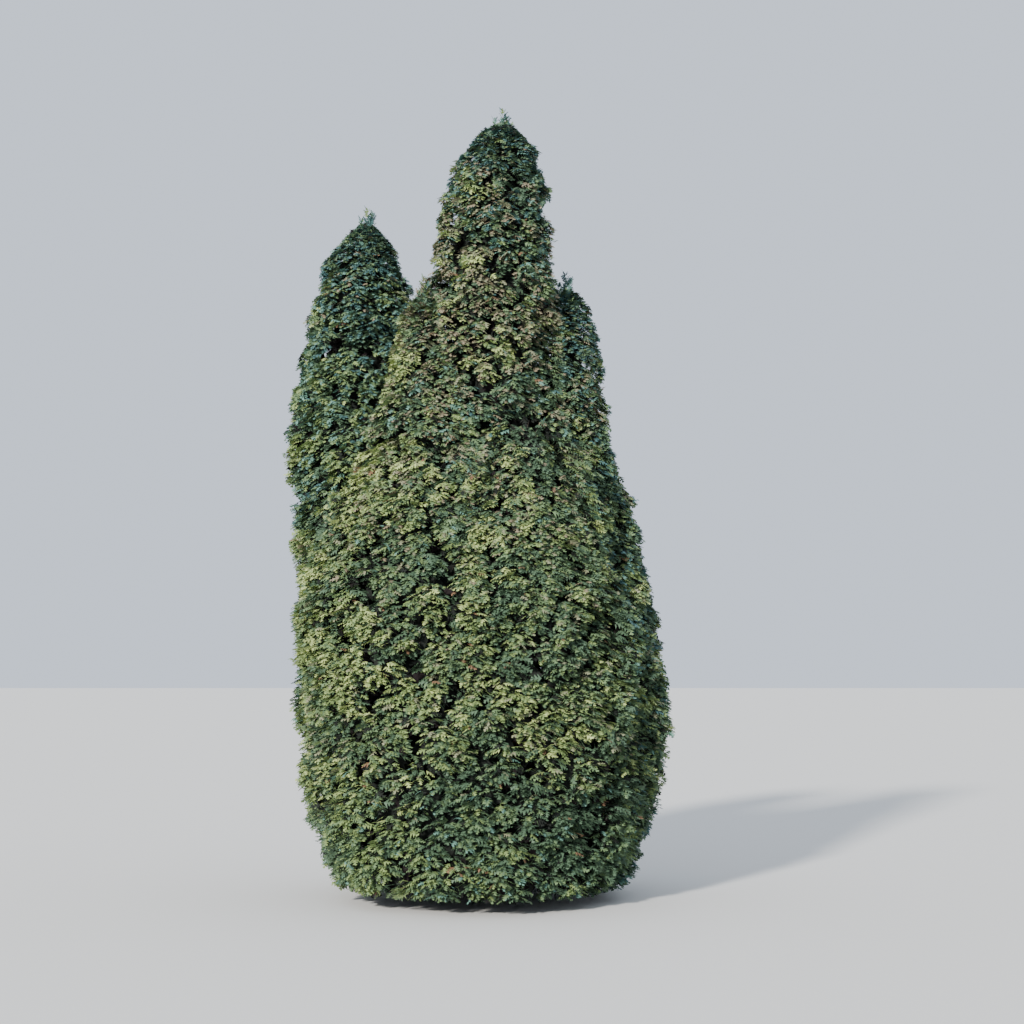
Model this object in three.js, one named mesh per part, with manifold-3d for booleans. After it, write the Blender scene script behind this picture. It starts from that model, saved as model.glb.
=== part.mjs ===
// Upright cedar that grows as a clump of eight leaders: one trunk, seven side stems and the
// dense foliage masses round them. Millimetres, +Z up, +Y away from the viewer.
// The origin is the middle of the flat cut where the trunk meets the ground.
import * as THREE from 'three';
import { mergeVertices } from 'three/addons/utils/BufferGeometryUtils.js';
import Module from 'manifold-3d';

const wasm = await Module();
wasm.setup();

// Trunk
const TRUNK_RADIUS = 78; // above the root flare
const FLARE_SPREAD = 62; // added to the radius at the ground
const FLARE_HEIGHT = 120; // the flare fades by this height
const FLARE_RIBS = 5;
const FLARE_RIB_DEPTH = 0.12; // share of the radius, at the ground
const TRUNK_TAPER = 0.84; // share of the radius lost at the tip
const TRUNK_SIDES = 10;
const TRUNK_STEPS = 14;

// Side stems, which leave the trunk low down and turn upright inside the foliage
const STEM_RADIUS = 36;
const STEM_TAPER = 0.74;
const STEM_UPRIGHT_HEIGHT = 1350; // from here up a stem stands in the middle of its leader
const STEM_SIDES = 6;
const STEM_STEPS = 10;
const LIMB_TIP_DEPTH = 230; // a trunk or stem ends this far below the tip of its leader

// Crown
const FOLIAGE_FOOT = 40; // the lowest foliage hangs this far above the ground
const TUCK_HEIGHT = 850; // below this the crown draws in
const TUCK = 0.28; // share of the radius lost at the ground
const FOOT_ROUND_HEIGHT = 260; // below this the foot rounds in further
const FOOT_ROUND = 0.2;
const SWELL_TOP = 3200; // the leaders merge between these heights
const SWELL_BASE = 1300;
const LEAST_SHARE = 0.31; // least share of the way to its neighbour that a leader fills
const LEVEL_SLOPE = 0.45; // rise of the foliage tiers per mm outwards
const LEVEL_SLOPE_HEIGHT = 700; // below this the tiers flatten towards the ground
const SPACE_GAP = 36; // clear space between neighbouring masses
const CORE_DEPTH = 68; // the dense core lies this far inside the outline
const CORE_SHARE = 0.3; // and never deeper than this share of the radius
const CORE_SIDES = 10;
const CORE_STEP = 330; // height between the rings of a core
const CORE_TIP_DEPTH = 90; // the topmost core ends this far below the tip
const RING_ROUNDS = 12; // rounds that settle a point of a rising ring
const LIMB_ROOM = 14; // a core stays this far from the stem that runs through it
const LIMB_CLEARANCE = 0.33; // a mass's own stem ends this far from its limb
const LUMPS = [[3, 0.0041, 0.045], [5, -0.0063, 0.035]]; // waves round, waves up per mm, depth

// Sprays: toothed blades that stand out of the cores
const SPRAY_SPACING = 335;
const SPRAY_LENGTH = 255;
const SPRAY_HALF_WIDTH = 112;
const SPRAY_HALF_THICKNESS = 5;
const SPRAY_FULL_RADIUS = 430; // a leader of this radius has sprays of the size above
const SPRAY_SCALES = [0.75, 1.3]; // smallest and largest share of that size
const SPRAY_RISE = 24; // degrees above level on the flanks
const SPRAY_TOP_RISE = 74; // degrees above level at a leader's tip
const SPRAY_TOP_DEPTH = 260; // the sprays turn upright over this depth
const SPRAY_WIDEST = 0.75; // share of the length from the root
const SPRAY_OUTLINE = [[0, 0], [SPRAY_WIDEST, -1], [0.83, -0.5], [1, 0], [0.83, 0.5], [SPRAY_WIDEST, 1]];
const SPRAY_ROLL = 26; // degrees either way about its own axis
const SPRAY_TURN = 0.2; // radians that a spray may stand off its golden angle
const SPRAY_LIFT = 7; // degrees that its rise may differ
const SPRAY_REACH = [0.98, 1.04]; // how far its tip reaches, in shares of the outline
const FIRST_SPRAY_LEVEL = 30; // above the bottom of its leader
const LAST_SPRAY_DEPTH = 90; // below the tip of its leader
const LEAST_RADIUS = 70; // the spacing near a tip is worked out for this radius
const SPRAY_TRIES = [[1, 1], [0.8, 0.5], [0.62, 0]]; // size and share of the roll, in turn
const GOLDEN_ANGLE = Math.PI * (3 - Math.sqrt(5));
const TIP_SHOOTS = 3;
const TIP_SHOOT_RISE = 82; // degrees
const TIP_SHOOT_STEP = 70; // each shoot at a tip ends this far below the one before
const TIP_SHOOT_SPREAD = 38; // and this much further out
const TIP_SHOOT_SCALE = 0.62;

// Short stem that ties a mass to its limb
const MASS_STEM_RADIUS = 13;
const MASS_STEM_SIDES = 5;
const MASS_STEM_REACH = 130;
const MASS_STEM_RISE = 0.33; // per mm of reach
const MASS_STEM_LEVEL = 0.55; // share of the height of its mass
const MASS_STEM_ABOVE_FORK = 320; // but at least this far above the fork of its limb

// Leaders. foot, knee and tip steer the middle of each column of foliage as a quadratic curve.
// The radius rounds out to shoulder over rounding, widens per mm of depth and swells where the
// leaders merge into one broad skirt, up to belly.
const LEADERS = [
  {
    name: 'main', seed: 11, masses: 2, bottom: 2400,
    foot: [0, 0], knee: [-85, 0], tip: [120, 0, 5240],
    shoulder: 290, rounding: 160, widening: 0.1, swell: 0, belly: 500,
  },
  {
    name: 'right', seed: 23, masses: 3, fork: 300,
    foot: [520, -80], knee: [595, 20], tip: [545, 150, 4150],
    shoulder: 155, rounding: 70, widening: 0.12, swell: 270, belly: 695,
  },
  {
    name: 'front_right', seed: 37, masses: 2, fork: 470,
    foot: [240, -540], knee: [220, -520], tip: [270, -560, 3150],
    shoulder: 130, rounding: 100, widening: 0.18, swell: 310, belly: 710,
  },
  {
    name: 'front_left', seed: 41, masses: 3, fork: 310,
    foot: [-260, -540], knee: [-420, -450], tip: [-410, -150, 4060],
    shoulder: 130, rounding: 80, widening: 0.19, swell: 260, belly: 720,
  },
  {
    name: 'left', seed: 53, masses: 2, fork: 480,
    foot: [-500, -110], knee: [-440, -120], tip: [-930, -100, 2680],
    shoulder: 220, rounding: 100, widening: 0.1, swell: 310, belly: 740,
  },
  {
    name: 'rear_left', seed: 67, masses: 3, fork: 320,
    foot: [-360, 400], knee: [-1090, 600], tip: [-840, 650, 4700],
    shoulder: 275, rounding: 200, widening: 0.13, swell: -100, belly: 680,
  },
  {
    name: 'rear', seed: 79, masses: 2, fork: 600,
    foot: [-30, 500], knee: [30, 580], tip: [150, 750, 3900],
    shoulder: 150, rounding: 100, widening: 0.13, swell: 250, belly: 710,
  },
  {
    name: 'rear_right', seed: 83, masses: 2, fork: 460,
    foot: [400, 420], knee: [430, 440], tip: [620, 600, 3300],
    shoulder: 130, rounding: 100, widening: 0.14, swell: 280, belly: 690,
  },
];

const foliageMaterial = new THREE.MeshStandardMaterial({
  name: 'scale foliage', color: '#5f7f3c', roughness: 0.75, metalness: 0,
});
const barkMaterial = new THREE.MeshStandardMaterial({
  name: 'stringy bark', color: '#6d5644', roughness: 0.9, metalness: 0,
});

// Seeded numbers from 0 to 1, by a 32-bit linear rule
function seededRandom(seed) {
  let state = seed >>> 0;
  return () => {
    state = (Math.imul(state, 1664525) + 1013904223) >>> 0;
    return state / 4294967296;
  };
}

function radians(degrees) {
  return degrees * Math.PI / 180;
}

// Middle of a leader's column of foliage at a height
function axisAt(leader, height) {
  const t = THREE.MathUtils.clamp(height / leader.tip[2], 0, 1);
  return new THREE.Vector2(
    (1 - t) * (1 - t) * leader.foot[0] + 2 * t * (1 - t) * leader.knee[0] + t * t * leader.tip[0],
    (1 - t) * (1 - t) * leader.foot[1] + 2 * t * (1 - t) * leader.knee[1] + t * t * leader.tip[1],
  );
}

// Outer radius of a leader's foliage at a height
function radiusAt(leader, height) {
  const depth = Math.max(leader.tip[2] - height, 0);
  const top = leader.shoulder * (1 - Math.exp(-depth / leader.rounding));
  const merged = THREE.MathUtils.smoothstep(SWELL_TOP - height, 0, SWELL_TOP - SWELL_BASE);
  const full = Math.min(top + leader.widening * depth + leader.swell * merged, leader.belly);
  const tuck = TUCK * Math.max(1 - height / TUCK_HEIGHT, 0);
  const round = FOOT_ROUND * Math.max(1 - height / FOOT_ROUND_HEIGHT, 0) ** 2;
  return full * (1 - tuck - round);
}

// The same radius with the soft lumps of the crown
function lumpyRadius(leader, angle, height) {
  let share = 1;
  for (const [round, up, depth] of LUMPS) {
    share += depth * Math.sin(round * angle + up * height + leader.seed);
  }
  return radiusAt(leader, height) * share;
}

// Tiers of foliage rise outwards. A level is a tier's height at the axis of its leader.
function heightOfLevel(level, radius) {
  return level + LEVEL_SLOPE * Math.min(level / LEVEL_SLOPE_HEIGHT, 1) * radius;
}

function levelOfHeight(height, radius) {
  const flat = height / (1 + LEVEL_SLOPE * radius / LEVEL_SLOPE_HEIGHT);
  return flat < LEVEL_SLOPE_HEIGHT ? flat : height - LEVEL_SLOPE * radius;
}

// Distance from a leader's axis to the face that it shares with another leader
function sharedFace(leader, other, height) {
  const between = axisAt(other, height).sub(axisAt(leader, height));
  const distance = between.length();
  const own = radiusAt(leader, height);
  const theirs = radiusAt(other, height);
  const share = 0.5 + (own * own - theirs * theirs) / (2 * distance * distance);
  return {
    towards: between.divideScalar(distance),
    reach: distance * THREE.MathUtils.clamp(share, LEAST_SHARE, 1 - LEAST_SHARE),
  };
}

// Other leaders that reach a height
function othersAt(leader, height) {
  return LEADERS.filter((other) => other !== leader && height < other.tip[2]);
}

// How far the core reaches from its axis in one direction
function coreRadius(leader, angle, height) {
  const full = lumpyRadius(leader, angle, height);
  let reach = full - Math.min(CORE_DEPTH, CORE_SHARE * full);
  const direction = new THREE.Vector2(Math.cos(angle), Math.sin(angle));
  for (const other of othersAt(leader, height)) {
    const face = sharedFace(leader, other, height);
    const facing = direction.dot(face.towards);
    if (facing > 0) {
      reach = Math.min(reach, (face.reach - SPACE_GAP / 2) / facing);
    }
  }
  if (reach <= 0) {
    throw new Error(`the axis of ${leader.name} is outside its space at ${height}`);
  }
  return reach;
}

// A closed solid from a unit shape whose points are moved to their places
function movedSolid(unit, place) {
  unit.deleteAttribute('normal');
  unit.deleteAttribute('uv');
  const merged = mergeVertices(unit);
  const points = merged.attributes.position;
  const point = new THREE.Vector3();
  for (let i = 0; i < points.count; i += 1) {
    point.fromBufferAttribute(points, i);
    place(point);
    points.setXYZ(i, point.x, point.y, point.z);
  }
  return new wasm.Manifold(new wasm.Mesh({
    numProp: 3,
    vertProperties: points.array,
    triVerts: new Uint32Array(merged.index.array),
  }));
}

// A stack of level rings. ringPoint gives the place for a share of the length and an angle,
// and middlePoint the middle of either end.
function stackedSolid(sides, steps, ringPoint, middlePoint) {
  const unit = new THREE.CylinderGeometry(1, 1, 1, sides, steps).rotateX(Math.PI / 2);
  return movedSolid(unit, (point) => {
    const share = point.z + 0.5;
    if (Math.hypot(point.x, point.y) > 0.5) {
      point.copy(ringPoint(share, Math.atan2(point.y, point.x)));
    } else {
      point.copy(middlePoint(share));
    }
  });
}

// Places on the trunk and on the side stems
function trunkRadius(angle, height) {
  const share = height / LEADERS[0].tip[2];
  const flare = Math.exp(-height / FLARE_HEIGHT);
  const ribs = 1 + FLARE_RIB_DEPTH * flare * Math.cos(FLARE_RIBS * angle);
  return (TRUNK_RADIUS * (1 - TRUNK_TAPER * share) + FLARE_SPREAD * flare) * ribs;
}

function stemAxis(leader, height) {
  const trunk = axisAt(LEADERS[0], height);
  const share = (height - leader.fork) / (STEM_UPRIGHT_HEIGHT - leader.fork);
  const left = Math.max(1 - share, 0);
  return trunk.lerp(axisAt(leader, height), 1 - left * left);
}

function stemRadius(leader, height) {
  const share = (height - leader.fork) / (leader.tip[2] - leader.fork);
  return STEM_RADIUS * (1 - STEM_TAPER * share);
}

function limbTop(leader) {
  return leader.tip[2] - LIMB_TIP_DEPTH;
}

// The trunk, or the trunk grown by a clearance
function trunkSolid(growth) {
  const heightAt = (share) => limbTop(LEADERS[0]) * share * share;
  const ring = (share, angle) => {
    const height = heightAt(share);
    const axis = axisAt(LEADERS[0], height);
    const radius = trunkRadius(angle, height) + growth;
    return new THREE.Vector3(
      axis.x + radius * Math.cos(angle),
      axis.y + radius * Math.sin(angle),
      height + (share === 1 ? growth : 0),
    );
  };
  const middle = (share) => {
    const axis = axisAt(LEADERS[0], heightAt(share));
    return new THREE.Vector3(axis.x, axis.y, heightAt(share) + (share === 1 ? growth : 0));
  };
  return stackedSolid(TRUNK_SIDES, TRUNK_STEPS, ring, middle);
}

// One side stem, or that stem grown by a clearance
function stemSolid(leader, growth) {
  const heightAt = (share) => leader.fork + (limbTop(leader) - leader.fork) * share ** 1.5;
  const ring = (share, angle) => {
    const height = heightAt(share);
    const axis = stemAxis(leader, height);
    const radius = stemRadius(leader, height) + growth;
    return new THREE.Vector3(
      axis.x + radius * Math.cos(angle),
      axis.y + radius * Math.sin(angle),
      height + (share === 1 ? growth : 0),
    );
  };
  const middle = (share) => {
    const axis = stemAxis(leader, heightAt(share));
    return new THREE.Vector3(axis.x, axis.y, heightAt(share) + (share === 1 ? growth : 0));
  };
  return stackedSolid(STEM_SIDES, STEM_STEPS, ring, middle);
}

// Dense core of a mass between two levels
function coreSolid(leader, low, high) {
  const steps = Math.max(Math.round((high - low) / CORE_STEP), 3);
  const levelAt = (share) => low + (high - low) * share;
  const ring = (share, angle) => {
    const level = levelAt(share);
    let radius = 0;
    let height = level;
    for (let round = 0; round < RING_ROUNDS; round += 1) {
      radius = coreRadius(leader, angle, height);
      height = heightOfLevel(level, radius);
    }
    const axis = axisAt(leader, height);
    return new THREE.Vector3(
      axis.x + radius * Math.cos(angle),
      axis.y + radius * Math.sin(angle),
      height,
    );
  };
  const middle = (share) => {
    const axis = axisAt(leader, levelAt(share));
    return new THREE.Vector3(axis.x, axis.y, levelAt(share));
  };
  return stackedSolid(CORE_SIDES, steps, ring, middle);
}

// Whether a point lies in the space of a leader between two levels
function isInSpace(leader, low, high, point) {
  if (point.z < FOLIAGE_FOOT || point.z > leader.tip[2]) {
    return false;
  }
  const offset = new THREE.Vector2(point.x, point.y).sub(axisAt(leader, point.z));
  const level = levelOfHeight(point.z, offset.length());
  if (level < low || level > high) {
    return false;
  }
  return othersAt(leader, point.z).every((other) => {
    const face = sharedFace(leader, other, point.z);
    return offset.dot(face.towards) < face.reach - SPACE_GAP / 2;
  });
}

// Whether a spray's tip shows, and isn't buried in a neighbour's foliage
function isExposed(leader, tip) {
  return othersAt(leader, tip.z).every((other) => {
    const distance = new THREE.Vector2(tip.x, tip.y).distanceTo(axisAt(other, tip.z));
    return distance > radiusAt(other, tip.z) - SPACE_GAP;
  });
}

// A toothed blade that ends at tip and points along an angle and a rise
function sprayPoints(spray, [share, rollShare]) {
  const scale = spray.scale * share;
  const along = new THREE.Vector3(
    Math.cos(spray.angle) * Math.cos(spray.rise),
    Math.sin(spray.angle) * Math.cos(spray.rise),
    Math.sin(spray.rise),
  );
  const across = new THREE.Vector3(-Math.sin(spray.angle), Math.cos(spray.angle), 0);
  across.applyAxisAngle(along, spray.roll * rollShare);
  const face = new THREE.Vector3().crossVectors(along, across);
  const at = (length, width, thickness) => spray.tip.clone()
    .addScaledVector(along, (length - 1) * SPRAY_LENGTH * scale)
    .addScaledVector(across, width * SPRAY_HALF_WIDTH * scale)
    .addScaledVector(face, thickness * SPRAY_HALF_THICKNESS);
  return {
    outline: SPRAY_OUTLINE.map(([length, width]) => at(length, width, 0)),
    faces: [at(SPRAY_WIDEST, 0, 1), at(SPRAY_WIDEST, 0, -1)],
  };
}

function spraySolid(points) {
  const teeth = points.outline.length;
  const unit = new THREE.SphereGeometry(1, teeth, 2).rotateX(Math.PI / 2);
  return movedSolid(unit, (point) => {
    if (Math.abs(point.z) > 0.5) {
      point.copy(points.faces[point.z > 0 ? 0 : 1]);
    } else {
      const turn = Math.atan2(point.y, point.x) / (2 * Math.PI) + 1;
      point.copy(points.outline[Math.round(turn * teeth) % teeth]);
    }
  });
}

// Sprays of one leader from its foot to its tip, set round it by the golden angle
function leaderSprays(leader) {
  const random = seededRandom(leader.seed);
  const between = (low, high) => low + (high - low) * random();
  const sprays = [];
  const tipHeight = leader.tip[2];
  let level = (leader.bottom ?? FOLIAGE_FOOT) + FIRST_SPRAY_LEVEL;
  for (let count = 0; level < tipHeight - LAST_SPRAY_DEPTH; count += 1) {
    const angle = count * GOLDEN_ANGLE + between(-SPRAY_TURN, SPRAY_TURN);
    const height = heightOfLevel(level, radiusAt(leader, level));
    const radius = lumpyRadius(leader, angle, height) * between(...SPRAY_REACH);
    const top = Math.exp(-(tipHeight - height) / SPRAY_TOP_DEPTH);
    const rise = THREE.MathUtils.lerp(SPRAY_RISE, SPRAY_TOP_RISE, top)
      + between(-SPRAY_LIFT, SPRAY_LIFT);
    const axis = axisAt(leader, height);
    sprays.push({
      tip: new THREE.Vector3(
        axis.x + radius * Math.cos(angle),
        axis.y + radius * Math.sin(angle),
        Math.min(height, tipHeight),
      ),
      angle,
      rise: radians(rise),
      roll: radians(between(-SPRAY_ROLL, SPRAY_ROLL)),
      scale: THREE.MathUtils.clamp(radius / SPRAY_FULL_RADIUS, ...SPRAY_SCALES),
      level,
    });
    const widest = Math.max(radiusAt(leader, level), LEAST_RADIUS);
    level += SPRAY_SPACING * SPRAY_SPACING / (2 * Math.PI * widest);
  }
  for (let shoot = 0; shoot < TIP_SHOOTS; shoot += 1) {
    const angle = leader.seed + shoot * 2 * Math.PI / TIP_SHOOTS;
    const spread = shoot * TIP_SHOOT_SPREAD;
    sprays.push({
      tip: new THREE.Vector3(
        leader.tip[0] + spread * Math.cos(angle),
        leader.tip[1] + spread * Math.sin(angle),
        tipHeight - shoot * TIP_SHOOT_STEP,
      ),
      angle,
      rise: radians(TIP_SHOOT_RISE),
      roll: 0,
      scale: TIP_SHOOT_SCALE,
      level: tipHeight - SPRAY_LENGTH,
    });
  }
  return sprays;
}

// Short stem from the middle of the limb out into the mass
function massStem(leader, limbAxis, low, high) {
  const height = Math.max(
    THREE.MathUtils.lerp(low, high, MASS_STEM_LEVEL),
    (leader.fork ?? 0) + MASS_STEM_ABOVE_FORK,
  );
  const from = limbAxis(height);
  const outwards = axisAt(leader, height).sub(axisAt(LEADERS[0], height));
  if (leader === LEADERS[0]) {
    outwards.set(1, 0);
  }
  const to = axisAt(leader, height).addScaledVector(outwards.normalize(), MASS_STEM_REACH);
  const start = new THREE.Vector3(from.x, from.y, height);
  const end = new THREE.Vector3(to.x, to.y, height + MASS_STEM_REACH * MASS_STEM_RISE);
  const along = end.clone().sub(start);
  const turn = new THREE.Quaternion().setFromUnitVectors(
    new THREE.Vector3(0, 0, 1),
    along.clone().normalize(),
  );
  const ring = (share, angle) => new THREE.Vector3(Math.cos(angle), Math.sin(angle), 0)
    .multiplyScalar(MASS_STEM_RADIUS)
    .applyQuaternion(turn)
    .add(start)
    .addScaledVector(along, share);
  const middle = (share) => start.clone().addScaledVector(along, share);
  return stackedSolid(MASS_STEM_SIDES, 1, ring, middle);
}

// The largest body of a solid, so that a loose scrap is dropped
function largestBody(solid) {
  const bodies = solid.decompose();
  bodies.sort((a, b) => b.volume() - a.volume());
  return bodies[0];
}

// One mass: its core clear of the limbs, its short stem and the sprays that fit its space
function massSolid(leader, limb, room, sprays, low, high) {
  const coreTop = Math.min(high, leader.tip[2] - CORE_TIP_DEPTH);
  let mass = coreSolid(leader, low, coreTop).subtract(room);
  for (const spray of sprays) {
    if (spray.level < low || spray.level > high || !isExposed(leader, spray.tip)) {
      continue;
    }
    for (const attempt of SPRAY_TRIES) {
      const points = sprayPoints(spray, attempt);
      const all = [...points.outline, ...points.faces];
      if (all.every((point) => isInSpace(leader, low, high, point))) {
        const blade = spraySolid(points);
        if (blade.intersect(room).isEmpty()) {
          mass = mass.add(blade);
          break;
        }
      }
    }
  }
  mass = mass.add(massStem(leader, limb.axis, low, high));
  return largestBody(mass.subtract(limb.solid(LIMB_CLEARANCE)));
}

function namedMesh(name, solid, material) {
  const { vertProperties, triVerts } = solid.getMesh();
  const geometry = new THREE.BufferGeometry();
  geometry.setAttribute('position', new THREE.BufferAttribute(vertProperties, 3));
  geometry.setIndex(new THREE.BufferAttribute(triVerts, 1));
  geometry.computeVertexNormals();
  const mesh = new THREE.Mesh(geometry, material);
  mesh.name = name;
  return mesh;
}

const tree = new THREE.Group();
tree.name = 'cedar';

const limbs = LEADERS.map((leader, order) => (order === 0
  ? { solid: trunkSolid, axis: (height) => axisAt(leader, height) }
  : { solid: (growth) => stemSolid(leader, growth), axis: (height) => stemAxis(leader, height) }));
const room = limbs
  .map((limb) => limb.solid(LIMB_ROOM))
  .reduce((joined, solid) => joined.add(solid));

tree.add(namedMesh('trunk', trunkSolid(0), barkMaterial));
for (const [order, leader] of LEADERS.entries()) {
  if (order > 0) {
    const stem = largestBody(stemSolid(leader, 0).subtract(trunkSolid(LIMB_CLEARANCE)));
    tree.add(namedMesh(`stem_${leader.name}`, stem, barkMaterial));
  }
  const sprays = leaderSprays(leader);
  const bottom = leader.bottom ?? FOLIAGE_FOOT;
  const massHeight = (leader.tip[2] - bottom) / leader.masses;
  for (let tier = 0; tier < leader.masses; tier += 1) {
    const low = bottom + tier * massHeight + (tier > 0 ? SPACE_GAP / 2 : 0);
    const isTop = tier === leader.masses - 1;
    const high = isTop ? leader.tip[2] : bottom + (tier + 1) * massHeight - SPACE_GAP / 2;
    const solid = massSolid(leader, limbs[order], room, sprays, low, high);
    tree.add(namedMesh(`foliage_${leader.name}_${tier + 1}`, solid, foliageMaterial));
  }
}

export default tree;
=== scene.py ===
"""Upright garden cedar that grows as a clump of eight leaders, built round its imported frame.

Metres, +Z up, +Y away from the viewer. The origin is the middle of the flat cut under the trunk.
The boughs, twigs and sprays grow on from the limbs by the rule of the part's source, which is
written again here and carried on to finer steps.
"""

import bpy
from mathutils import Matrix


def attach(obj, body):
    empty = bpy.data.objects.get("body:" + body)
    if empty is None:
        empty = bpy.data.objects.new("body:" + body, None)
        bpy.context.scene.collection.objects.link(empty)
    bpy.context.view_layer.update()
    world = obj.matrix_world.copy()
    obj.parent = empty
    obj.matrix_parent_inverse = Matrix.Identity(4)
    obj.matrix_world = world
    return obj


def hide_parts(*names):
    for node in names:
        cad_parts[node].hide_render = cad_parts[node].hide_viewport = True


bl_info = {
    "name": "Garden cedar",
    "version": (1, 0, 0),
    "blender": (4, 5, 0),
    "location": "3D View > Sidebar > Cedar",
    "description": "Builds a dense upright cedar with flat scale-leaf sprays round its frame",
    "category": "Add Mesh",
}

import functools
import math

import bpy
import numpy as np
from bpy.props import FloatProperty, FloatVectorProperty, PointerProperty
from mathutils import Vector

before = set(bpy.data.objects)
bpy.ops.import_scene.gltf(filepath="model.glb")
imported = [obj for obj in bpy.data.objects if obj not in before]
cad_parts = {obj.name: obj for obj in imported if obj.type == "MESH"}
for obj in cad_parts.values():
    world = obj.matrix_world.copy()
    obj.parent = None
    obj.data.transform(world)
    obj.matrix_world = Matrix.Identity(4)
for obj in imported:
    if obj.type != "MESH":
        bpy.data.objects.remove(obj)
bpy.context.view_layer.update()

# Trunk and side stems, as in the part's source
TRUNK_RADIUS = 0.078
FLARE_SPREAD = 0.062
FLARE_HEIGHT = 0.12
FLARE_RIBS = 5
FLARE_RIB_DEPTH = 0.12
TRUNK_TAPER = 0.84
STEM_RADIUS = 0.036
STEM_TAPER = 0.74
STEM_UPRIGHT_HEIGHT = 1.35
LIMB_TIP_DEPTH = 0.23

# Crown, as in the part's source
FOLIAGE_FOOT = 0.04
TUCK_HEIGHT = 0.85
TUCK = 0.28
FOOT_ROUND_HEIGHT = 0.26
FOOT_ROUND = 0.2
SWELL_TOP = 3.2
SWELL_BASE = 1.3
LEVEL_SLOPE = 0.45
LEVEL_SLOPE_HEIGHT = 0.7
LUMPS = ((3, 4.1, 0.045), (5, -6.3, 0.035))  # waves round, waves up per metre, depth
BOUGH_SPACING = 0.335
SITE_TURN = 0.2
SITE_REACH = (0.98, 1.04)
FIRST_LEVEL = 0.03
LAST_BOUGH_DEPTH = 0.09
LEAST_RADIUS = 0.07
GOLDEN_ANGLE = math.pi * (3 - math.sqrt(5))

LEADERS = (
    dict(name="main", feathery=True, seed=11, masses=2, bottom=2.4, fork=0.0,
         foot=(0.0, 0.0), knee=(-0.085, 0.0), tip=(0.12, 0.0, 5.24),
         shoulder=0.29, rounding=0.16, widening=0.1, swell=0.0, belly=0.5),
    dict(name="right", feathery=True, seed=23, masses=3, fork=0.3,
         foot=(0.52, -0.08), knee=(0.595, 0.02), tip=(0.545, 0.15, 4.15),
         shoulder=0.155, rounding=0.07, widening=0.12, swell=0.27, belly=0.695),
    dict(name="front_right", feathery=False, seed=37, masses=2, fork=0.47,
         foot=(0.24, -0.54), knee=(0.22, -0.52), tip=(0.27, -0.56, 3.15),
         shoulder=0.13, rounding=0.1, widening=0.18, swell=0.31, belly=0.71),
    dict(name="front_left", feathery=True, seed=41, masses=3, fork=0.31,
         foot=(-0.26, -0.54), knee=(-0.42, -0.45), tip=(-0.41, -0.15, 4.06),
         shoulder=0.13, rounding=0.08, widening=0.19, swell=0.26, belly=0.72),
    dict(name="left", feathery=False, seed=53, masses=2, fork=0.48,
         foot=(-0.5, -0.11), knee=(-0.44, -0.12), tip=(-0.93, -0.1, 2.68),
         shoulder=0.22, rounding=0.1, widening=0.1, swell=0.31, belly=0.74),
    dict(name="rear_left", feathery=True, seed=67, masses=3, fork=0.32,
         foot=(-0.36, 0.4), knee=(-1.09, 0.6), tip=(-0.84, 0.65, 4.7),
         shoulder=0.275, rounding=0.2, widening=0.13, swell=-0.1, belly=0.68),
    dict(name="rear", feathery=True, seed=79, masses=2, fork=0.6,
         foot=(-0.03, 0.5), knee=(0.03, 0.58), tip=(0.15, 0.75, 3.9),
         shoulder=0.15, rounding=0.1, widening=0.13, swell=0.25, belly=0.71),
    dict(name="rear_right", feathery=True, seed=83, masses=2, fork=0.46,
         foot=(0.4, 0.42), knee=(0.43, 0.44), tip=(0.62, 0.6, 3.3),
         shoulder=0.13, rounding=0.1, widening=0.14, swell=0.28, belly=0.69),
)

# Finer steps of the rule. Seeds are added to the leader's own. A site that lies deeper than buried
# in a neighbour's foliage is left out.
DETAIL_SEED = 4000
SHOOT_SEED = 5000
TWIG = dict(seed=1000, last_depth=0.07, buried=0.1, sides=4, steps=3, radius=0.0032,
            inset=0.05, arch=0.08, roots=(0.9, 0.45))  # roots: shares of the bough, near and far
OUTER = dict(seed=2000, last_depth=0.15, buried=0.05, blades=0.34, lengths=(0.75, 1.2),
             steady=0.75, roll=0.34)
SHADED = dict(seed=2500, last_depth=0.15, buried=0.09, blades=0.32, lengths=(0.8, 1.2),
              steady=0.4, roll=0.55, behind=(0.012, 0.035), droop=math.radians(10), clearance=0.08)
OLD = dict(seed=3000, last_depth=0.24, buried=0.4, blades=0.55, lengths=(0.8, 1.15), roll=0.3,
           behind=(0.07, 0.18), clearance=0.16, turn=0.4, rise=math.radians(-62), tilt=0.25,
           deepest=(0.35, 0.6), longest=0.45, hang=0.9)
# In these three layers of sprays, blades is the width of a blade as a share of its spray's length.
# Lengths are shares of the mean length, and steady is the share that doesn't shrink on slim leaders.
# Behind is how far a spray lies behind the outer ones. Deepest and longest are shares of the
# leader's radius. An old spray's point hangs the share hang of its length below its site. Turn,
# tilt and roll are spreads in radians.
LAYERS = dict(sprays=OUTER, shaded=SHADED, old=OLD)
BLOCK = 2000  # points that are compared with their targets at a time

# Outline round all leaders
SEAM_SOFTNESS = (0.2, 0.06)  # from the skirt to the tall leaders
SOFT_TOP = 2.4
SOFT_SPAN = 1.5
SKIRT_INSET = 0.135  # the skirt is this much slimmer, for the seams make it fuller
SKIRT_TOP = 3.6
SKIRT_SPAN = 2.2
ABOVE_SHARE = 0.5  # a dome blends into the foliage above it
LEAST_STEEPNESS = 0.5
LEAST_DISTANCE = 0.001  # from a leader's axis, so that no division is by zero
TIP_TUCK = 0.065  # the dome under a leader's shoots is this much slimmer
DOME_TUCK = 0.1  # the same for leaders whose tips stay within the crown
DOME_DEPTH = 0.4
GROUND_CLEARANCE = 0.03

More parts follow.
